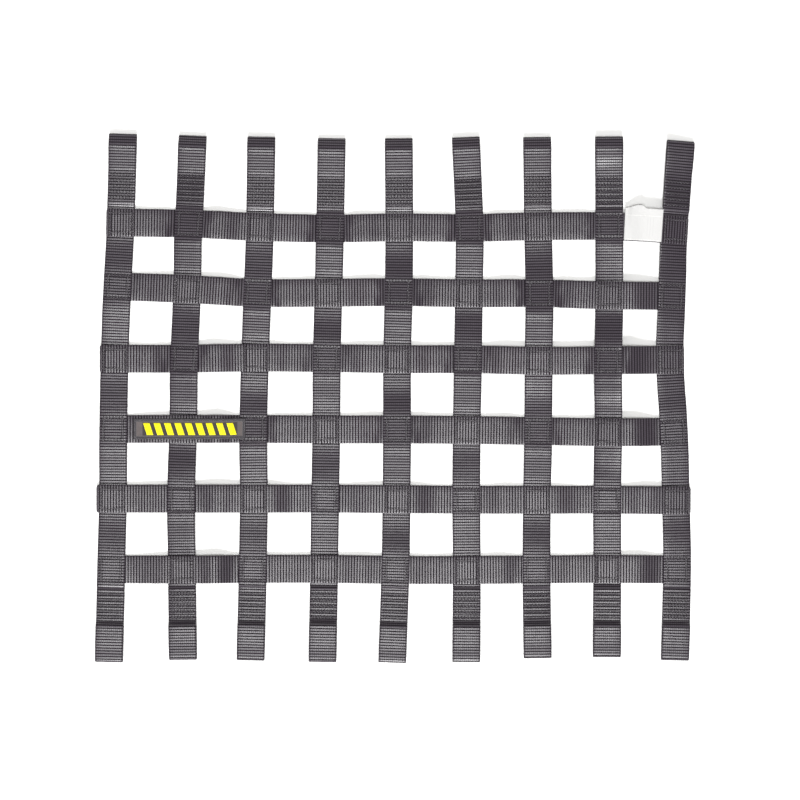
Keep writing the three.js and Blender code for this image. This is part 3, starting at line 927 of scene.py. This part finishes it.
def weave(name, node, course, boxes, flap_marks=()):
    ribs = round(course.length / RIB)
    turns = [rib + part for rib in range(ribs) for part in RIB_PLACES] + [ribs]
    places = [course.length * turn / ribs for turn in turns]
    bm = flat_strip([x for x, _, _ in COLUMNS], places, THICK)
    weave_layer = bm.verts.layers.float_vector.new("weave")
    row_layer = bm.verts.layers.float_vector.new("row")
    side_layer = bm.verts.layers.float_vector.new("side_row")
    shape = {x: (half, rib) for x, half, rib in COLUMNS}
    rows = {}
    for v in bm.verts:
        x, s, face = v.co.x, v.co.y, math.copysign(1, v.co.z)
        half, rib = shape[min(shape, key=lambda k: abs(k - x))]
        row = bisect_right(places, s + 0.1) - 1
        rows[v] = row
        end = min(s, course.length - s)
        depth = VALLEY[row % len(VALLEY)]
        v[weave_layer] = (x, turns[row], 1 - smooth(end / END_MELT))
        cross_row, side_row = nearest_rows(x, s, boxes, flap_marks)
        v[row_layer], v[side_layer] = cross_row, side_row
        away = cross_row[1]
        pulled = PULL * (1 - smooth(abs(away) / PULL_REACH)) * (1 + 0.6 * ripple(x * 0.5, s * 0.5, 9))
        uneven = FACE_NOISE * (1 + ripple(x * 0.3, row * 0.4, face))
        thinned = END_THINNING * (1 - smooth(end / END_TAPER))
        v.co.z = face * max(half - depth * rib - uneven - pulled - thinned, LEAST_HALF)
        out = EDGE_NOISE * ripple(s * 0.11, x, 3) + RIB_BULGE * (1 - depth / VALLEY[0])
        at_edge = abs(x) > EDGE_FROM
        v.co.x = (x + math.copysign(out, x) * at_edge) * (1 - corner_pull(end, END_RADIUS) / HALF)
    for edge in bm.edges:
        a, b = (rows[v] for v in edge.verts)
        edge.smooth = a != b or a % 2 == 0
    made = finished(bm, name, webbing, course)
    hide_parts(node)
    return made


print("a row of thread pulls each face in by about, mm:", PULL)

# %% [markdown]
# All fifteen straps are woven by this one function. A down strap also has the marks of the rows on
# its two flaps, under it and above it.

# %% Weave all the straps
straps = []
flap_marks = [flap_marks_of(course) for course in down_courses]
for c, course in enumerate(down_courses):
    name, node = f"down_webbing_{c + 1}", f"strap_down_{c + 1}"
    under, above = flap_marks[c]
    straps.append(weave(name, node, course, down_boxes[c], under + above))
for r, course in enumerate(across_courses):
    name, node = f"across_webbing_{r + 1}", f"strap_across_{r + 1}"
    straps.append(weave(name, node, course, across_boxes[r]))
print("straps:", len(straps), "triangles:", sum(2 * len(x.data.polygons) for x in straps))

# %% [markdown]
# ## Thread
#
# One stitch is a short piece of thread that rises out of one hole and dives into the next: a
# five-sided sphere, drawn out, with both ends bent down. Thousands are needed, so it has only 20
# triangles. Each copy is turned and drawn out by one matrix.

# %% One stitch
# The radius of the sphere's two rings, how far the ends bend down, and how far out the ends and the
# rings lie along a stitch that is 1 long
RING, END_BEND, END_OUT, RING_OUT = 0.866, 0.8, 0.5, 0.34

bm = bmesh.new()
bmesh.ops.create_uvsphere(bm, u_segments=5, v_segments=3, radius=1)
for v in bm.verts:
    at_end = abs(v.co.z) > 0.9
    x, y = v.co.x / RING, v.co.y / RING - (END_BEND if at_end else 0)
    v.co = (x, y, math.copysign(END_OUT if at_end else RING_OUT, v.co.z))
stitch = bpy.data.meshes.new("stitch")
bm.to_mesh(stitch)
bm.free()
print("triangles in a stitch:", sum(len(face.vertices) - 2 for face in stitch.polygons))

# %% [markdown]
# A row of stitches is given by its corners on the flat strip, and a course says where they lie on the
# bent one. A zigzag swings to and fro across its row. Four of them make the box of a crossing.

# %% Rows of stitches
ZIG_CORNERS = range(-7, 8)
THREAD = 0.23
ON_TOP, BELOW = HALF_THICK - 0.04, -(HALF_THICK - THREAD - 0.02)


def sew(name, stitches, radius, material):
    """Makes one piece of all the stitches, each given by its two ends and the face it lies on."""
    bm = bmesh.new()
    for a, b, face in stitches:
        run = b - a
        side = face.cross(run).normalized()
        turned = Matrix((side * radius, run.cross(side).normalized() * radius, run)).transposed().to_4x4()
        turned.translation = (a + b) / 2
        copy = stitch.copy()
        copy.transform(turned)
        bm.from_mesh(copy)
        bpy.data.meshes.remove(copy)
    return finished(bm, name, material)


def row_of(course, points, off):
    """Stitches from each point to the next, at a height off the middle of the cloth."""
    placed = [course.place(x, s, off) for x, s in points]
    return [(a, b, face) for (a, face), (b, _) in zip(placed, placed[1:])]


def zigzag(course, middle, shift, away, off, along=False):
    """A zigzag row across the strap, or along it, with its corners at the needle holes."""
    points = []
    for k in ZIG_CORNERS:
        swing, run = (-1) ** k * ZIG, k * ZIG_STEP
        out = math.copysign(abs(away) + swing, away) if away else swing
        points.append((shift + out, middle + run) if along else (shift + run, middle + out))
    return row_of(course, points, off)


def box_stitches(course, box, off):
    """The box of a crossing: two rows across the strap and two along it."""
    middle, shift = box
    found = []
    for side in (-1, 1):
        found += zigzag(course, middle, shift, side * ROW_OFF, off)
        found += zigzag(course, middle, shift, side * SIDE_OFF, off, along=True)
    return found


print("stitches in a box:", len(box_stitches(down_courses[0], down_boxes[0][0], ON_TOP)))

# %% [markdown]
# The thread is twisted, and shines as the yarn of the webbing does. Its finish is fine grain under a
# coat.

# %% Finish of the thread
TWIST_SCALE = 2600


def thread_finish(name, low, high, coat=0):
    made = new_finish(name, Roughness=0.45, Coat_Weight=coat, Coat_Roughness=0.35, Coat_IOR=1.6)
    spot = Signal.node("ShaderNodeTexCoord", output="Object")
    twist = Signal.node("ShaderNodeTexNoise", inputs={"Vector": spot, "Scale": TWIST_SCALE, "Detail": 2})
    dress(blend(twist, low, high), twist, depth=0.0001)
    return made


dark_thread = thread_finish("charcoal thread", (0.013, 0.010, 0.0135), (0.072, 0.061, 0.077), coat=0.8)
print("finish:", dark_thread.name)

# %% [markdown]
# Each crossing is sewn through both straps, so its box shows on the upper face of the upper strap
# and on the lower face of the lower one. The rows of a flap show above the loop's sewn part and
# under the flap.

# %% Sew the crossings and the flaps
upper_stitches, lower_stitches, flap_stitches = [], [], []
for r in ACROSS_STRAPS:
    for c in DOWN_STRAPS:
        down, across = (down_courses[c], down_boxes[c][r]), (across_courses[r], across_boxes[r][c])
        top, low = (down, across) if CROSSINGS[r][c]["down_on_top"] else (across, down)
        upper_stitches += box_stitches(*top, ON_TOP)
        lower_stitches += box_stitches(*low, BELOW)
for course, (under, above) in zip(down_courses, flap_marks):
    for mark in above:
        flap_stitches += zigzag(course, mark, 0, 0, ON_TOP)
    for mark in under:
        flap_stitches += zigzag(course, mark, 0, 0, -BELOW)

for name, stitches in (
    ("crossing_thread_upper", upper_stitches),
    ("crossing_thread_lower", lower_stitches),
    ("flap_thread", flap_stitches),
):
    sew(name, stitches, THREAD, dark_thread)
    print(name, "stitches:", len(stitches))

# %% [markdown]
# ## The badge
#
# A stiff woven patch is sewn on the fourth across strap. It lies on its strap, and its right end
# climbs onto the edge of the next down strap. It gets a course of its own: the strap's course,
# lifted.

# %% Course of the badge
BADGE_LEFT, BADGE_RIGHT, BADGE_WIDTH, BADGE_THICK, BADGE_CLIMB = -239, -136, 19, 1.2, 12
# The gap under a sewn-on cloth, and the steps of its course
REST, FINE_STEP = 0.4, 0.8


def lying_on(course, left, right, lift):
    """A course that follows an across strap from one x to another, raised by a lift."""
    xs = [point.x - SHIFT.x for point, _, _ in course.stations]

    def mark_at(x):
        i = bisect_right(xs, x)
        u = (x - xs[i - 1]) / (xs[i] - xs[i - 1])
        return course.marks[i - 1] + u * (course.marks[i] - course.marks[i - 1])

    start, end = mark_at(left), mark_at(right)
    steps = round((end - start) / FINE_STEP)
    stations = []
    for i in range(steps + 1):
        point, run, face = course.at(start + (end - start) * i / steps)
        stations.append((point - SHIFT + face * lift(point.x - SHIFT.x), run, face))
    return Course(stations)


badge_step = CROSSINGS[3][2]["middle"].x - FLAT
badge_rest = HALF_THICK + REST + BADGE_THICK / 2


def badge_lift(x):
    """Up from the strap's middle, and by one strap more where the badge climbs."""
    return badge_rest + 2 * LAYER * smooth((x - badge_step + BADGE_CLIMB) / BADGE_CLIMB)


badge_course = lying_on(across_courses[3], BADGE_LEFT, BADGE_RIGHT, badge_lift)
print("badge, mm long:", round(badge_course.length, 1))

# %% [markdown]
# The field of the badge is plain twill, with a row of slanted yellow bars embroidered on it. Painted
# shade darkens it beside the raised bars, and its rim is closely stitched over.

# %% Finish of the badge
BAR_COUNT, BAR_PITCH, BAR_WIDTH, BAR_HEIGHT, BAR_SLANT = 9, 9.6, 6.0, 11, 0.32
# The row of bars: its middle along the badge, and its length
BAR_MIDDLE = badge_course.length / 2 + 0.5
BAR_ROW = (BAR_COUNT - 1) * BAR_PITCH + BAR_WIDTH + BAR_SLANT * BAR_HEIGHT


def badge_finish():
    made = new_finish("black badge cloth", Roughness=0.6, Specular_IOR_Level=0.4)
    across, along, _ = attribute("weave")
    twill = wave(across / 0.55 + along / 0.55)
    weft = wave(along / 0.42)
    cloud = grain(across * 0.3, along * 0.12, 0)
    fibre = grain(across * 4, along * 4, 1)
    half = badge_course.length / 2
    edge = Signal.math("MINIMUM", BADGE_WIDTH / 2 - abs(across), half - abs(along - half))
    field = step(edge, 2.7, 3.0)
    shade = (0.35 + 0.4 * weft + 0.25 * twill) * (0.7 + 0.6 * fibre)
    rim = blend(shade, (0.012, 0.011, 0.013), (0.05, 0.046, 0.052))
    plain = blend(shade * (0.7 + 0.6 * cloud), (0.035, 0.030, 0.030), (0.125, 0.105, 0.105))
    past_bars, past_row = abs(across) - BAR_HEIGHT / 2, abs(along - BAR_MIDDLE) - BAR_ROW / 2
    beside_bars = Signal.math("MAXIMUM", past_bars, past_row)
    # Painted shade on the field beside the raised bars.
    plain = blend(0.75 - 0.75 * step(beside_bars, 0.2, 1.0), plain, (0.012, 0.010, 0.010))
    dress(blend(field, rim, plain), 0.6 * weft + 0.4 * twill + 0.3 * fibre, depth=0.00012)
    return made


badge_twill = badge_finish()
print("finish:", badge_twill.name, "row of bars, mm:", round(BAR_ROW, 1))

# %% [markdown]
# The badge and the label are both a fine flat strip whose two faces are shaped by a rule, so one
# function makes them. The badge's rule gives it a raised rim with a rounded edge. Its columns stand
# close together there.

# %% Cloth of the badge
CLOTH_STEP = 0.7
# The badge: height of its field, how much higher the rim is, its width, its slope and its rounding
FIELD_HEIGHT, RIM_HEIGHT, RIM_WIDTH, RIM_SLOPE, RIM_ROUND = 0.18, 0.16, 2.0, 0.7, 0.9
RIM_COLUMNS = [9.5, 9.2, 8.8, 8.2, 7.5, 6.9, 6.3]
FIELD_COLUMNS = [x * 0.9 for x in range(-6, 7)]


def shaped_cloth(name, course, columns, shape, material):
    """A closed cloth on a course. shape(x, s, upper) gives each vertex its x and its height."""
    bm = flat_strip(columns, evenly(course.length, CLOTH_STEP), 1)
    layer = bm.verts.layers.float_vector.new("weave")
    for v in bm.verts:
        x, s = v.co.x, v.co.y
        v[layer] = (x, s, 0)
        v.co.x, v.co.z = shape(x, s, v.co.z > 0)
    return finished(bm, name, material, course)


def badge_shape(x, s, upper):
    if not upper:
        return x, -BADGE_THICK / 2
    edge = min(BADGE_WIDTH / 2 - abs(x), s, badge_course.length - s)
    rim = RIM_HEIGHT * (1 - smooth((edge - RIM_WIDTH) / RIM_SLOPE))
    return x, FIELD_HEIGHT + rim - 0.5 * corner_pull(edge, RIM_ROUND) + 0.03 * ripple(x * 0.4, s * 0.2, 8)


badge_columns = [-x for x in RIM_COLUMNS] + FIELD_COLUMNS + RIM_COLUMNS[::-1]
badge = shaped_cloth("badge_cloth", badge_course, badge_columns, badge_shape, badge_twill)
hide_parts("badge")
print("badge triangles:", 2 * len(badge.data.polygons))

# %% [markdown]
# The bars are satin stitch: thread laid side by side until it makes a raised, shiny patch. Each is
# a small grid, given thickness, slanted with a shear, and bent with the badge.

# %% Yellow bars of the badge
STRAND = 0.5
# Heights of a bar: of its underside, of its edge and from there to its crown, and its rounding
BAR_SHEET, BAR_UNDER, BAR_EDGE, BAR_CROWN, BAR_ROUND = 0.4, 0.14, 0.26, 0.24, 1.2


def bar_finish():
    made = new_finish("yellow satin stitch", Roughness=0.42)
    across, along, _ = attribute("weave")
    strand = wave((along - across * BAR_SLANT) / STRAND)
    fibre = grain(across * 3, along * 3, 2)
    shade = (0.6 + 0.4 * strand) * (0.75 + 0.5 * fibre)
    dress(blend(shade, (0.55, 0.50, 0.0), (0.95, 0.88, 0.0)), strand, depth=0.00012)
    return made


bm = bmesh.new()
layer = bm.verts.layers.float_vector.new("weave")
for i in range(BAR_COUNT):
    before = set(bm.verts)
    made = bmesh.ops.create_grid(bm, x_segments=12, y_segments=10, size=1)
    from_middle = (i - (BAR_COUNT - 1) / 2) * BAR_PITCH
    for v in made["verts"]:
        v.co.x *= BAR_HEIGHT / 2
        v.co.y = v.co.y * BAR_WIDTH / 2 + BAR_SLANT * v.co.x + BAR_MIDDLE + from_middle
    faces = [f for f in bm.faces if not before.intersection(f.verts)]
    bmesh.ops.solidify(bm, geom=faces, thickness=BAR_SHEET)
for v in bm.verts:
    v[layer] = (v.co.x, v.co.y, 0)
    slot = (v.co.y - BAR_SLANT * v.co.x - BAR_MIDDLE) / BAR_PITCH
    inward = min(BAR_WIDTH / 2 - abs(slot - round(slot)) * BAR_PITCH, BAR_HEIGHT / 2 - abs(v.co.x))
    crown = BAR_EDGE + BAR_CROWN * math.sqrt(min(max(inward, 0) / BAR_ROUND, 1))
    v.co.z = BAR_UNDER if v.co.z < -BAR_SHEET / 2 else crown
bars = finished(bm, "badge_bars", bar_finish(), badge_course)
print("bars:", BAR_COUNT, "triangles:", 2 * len(bars.data.polygons))

# %% [markdown]
# Dense zigzag holds the badge all round, and a fine pale line of stitches frames its field.

# %% Sew the badge on
def frame_points(course, half_width, inset, pitch, swing):
    """Corners of a zigzag that runs once round a cloth, inset from its edges."""
    low, high = inset, course.length - inset
    sides = [((-half_width, low), (-half_width, high)), ((-half_width, high), (half_width, high)),
             ((half_width, high), (half_width, low)), ((half_width, low), (-half_width, low))]
    points = []
    for (x0, s0), (x1, s1) in sides:
        length = math.hypot(x1 - x0, s1 - s0)
        count = max(round(length / pitch), 1)
        ux, us = (x1 - x0) / length, (s1 - s0) / length
        for i in range(count):
            out = swing * (-1) ** i
            x, s = x0 + ux * length * i / count, s0 + us * length * i / count
            points.append((x + us * out, s - ux * out))
    return points + points[:1]


# The dense edge and the fine frame line: height on the badge, and radius of the thread
EDGE_UP, EDGE_THREAD, LINE_UP, LINE_THREAD = 0.30, 0.2, 0.24, 0.15

edge_points = frame_points(badge_course, half_width=8.35, inset=1.15, pitch=0.85, swing=0.95)
edge_stitches = row_of(badge_course, edge_points, EDGE_UP)
sew("badge_edge_thread", edge_stitches, EDGE_THREAD, dark_thread)

grey_thread = thread_finish("grey thread", (0.08, 0.078, 0.085), (0.20, 0.195, 0.21))
line_points = frame_points(badge_course, half_width=6.75, inset=2.75, pitch=1.4, swing=0)
line_stitches = row_of(badge_course, line_points, LINE_UP)
sew("badge_frame_thread", line_stitches, LINE_THREAD, grey_thread)
print("stitches on the badge:", len(edge_stitches) + len(line_stitches))

# %% [markdown]
# ## The label
#
# A soft white ribbon is sewn on the first across strap, at the right. It stands past the strap's
# upper edge. It is plain, but for three faint ruled lines.

# %% Course and finish of the label
LABEL_LEFT, LABEL_RIGHT, LABEL_BELOW, LABEL_ABOVE, LABEL_HALF = 211.5, 245.5, 12, 18, 0.5
# The ruled lines: where the middle one is, their pitch, and how much they show
RULED_MIDDLE, RULED_PITCH, RULED_SHARE = 24, 2.6, 0.4
label_lift = HALF_THICK + REST + LABEL_HALF
label_course = lying_on(across_courses[0], LABEL_LEFT, LABEL_RIGHT, lambda x: label_lift)


def label_finish():
    made = new_finish("white satin ribbon", Roughness=0.5)
    across, along, _ = attribute("weave")
    warp = wave(along / 0.5)
    weft = wave(across / 0.36)
    fibre = grain(across * 5, along * 5, 3)
    line = abs((along - RULED_MIDDLE) / RULED_PITCH)
    ruled = (1 - step(abs(line - Signal.math("ROUND", line)), 0.05, 0.09)) * (1 - step(line, 1.2, 1.3))
    ruled = ruled * (1 - step(abs(across + 1), 8.2, 8.4))
    white = blend(0.5 * warp + 0.5 * fibre, (0.465, 0.463, 0.464), (0.53, 0.528, 0.527))
    height = 0.5 * warp + 0.4 * weft + 0.3 * fibre
    dress(blend(ruled * RULED_SHARE, white, (0.35, 0.35, 0.36)), height, depth=0.00008)
    return made


white_ribbon = label_finish()
print("finish:", white_ribbon.name, "label, mm long:", round(label_course.length, 1))

# %% [markdown]
# The ribbon is thin, and it is free above the strap, so it ripples there. Its upper edge stands up in
# a low peak, and drops to the right of it at a crease.

# %% Cloth of the label
PEAK_HEIGHT, PEAK_TOP, CREASE_FROM, CREASE_TO = 2.7, 223.5, 226.5, 230.5
LABEL_THICK, LABEL_THINNING, LABEL_COLUMN = 0.42, 0.12, 0.75
# How far above the strap's middle the ribbon starts to rise to its peak
PEAK_FROM = 6


def label_peak(s):
    x = label_course.at(s)[0].x - SHIFT.x
    falling = smooth((x - CREASE_FROM) / (CREASE_TO - CREASE_FROM))
    return PEAK_HEIGHT * smooth((x - LABEL_LEFT) / (PEAK_TOP - LABEL_LEFT)) * (1 - falling)


def label_floor(x, s):
    """The height of the ribbon's lower face, which waves more where the ribbon is free."""
    free = smooth((-x - 12) / 6)
    return -0.45 + 0.2 * ripple(x * 0.08, s * 0.13, 2) * (0.3 + 0.7 * free) + 0.18 * free


def label_shape(x, s, upper):
    edge = min(x + LABEL_ABOVE, LABEL_BELOW - x, s, label_course.length - s)
    thin = LABEL_THINNING * (1 - smooth(edge / 0.8))
    peak = label_peak(s) * smooth((-x - PEAK_FROM) / (LABEL_ABOVE - PEAK_FROM))
    return x - peak, label_floor(x, s) + (LABEL_THICK - thin if upper else thin)


label_width = LABEL_BELOW + LABEL_ABOVE
label_columns = [-LABEL_ABOVE + x for x in evenly(label_width, LABEL_COLUMN)]
label = shaped_cloth("label_ribbon", label_course, label_columns, label_shape, white_ribbon)
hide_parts("label")
print("label, mm:", label_width, "by", round(label_course.length, 1))

# %% [markdown]
# Two straight rows of white thread hold the ribbon down on its strap.

# %% Thread of the label
# The two rows: how far from the strap's middle, from the ribbon's sides, and the stitch
SEAM_OFF, SEAM_INSET, SEAM_STITCH, WHITE_THREAD = 11.0, 0.9, 2.2, 0.16

white_thread = thread_finish("white thread", (0.62, 0.62, 0.60), (0.85, 0.85, 0.83))
stitches = []
for x in (-SEAM_OFF, SEAM_OFF):
    count = round(label_course.length / SEAM_STITCH)
    run = label_course.length - 2 * SEAM_INSET
    points = [(x, SEAM_INSET + run * i / count) for i in range(count + 1)]
    stitches += row_of(label_course, points, 0.0)
sew("label_thread", stitches, WHITE_THREAD, white_thread)
print("stitches on the label:", len(stitches))
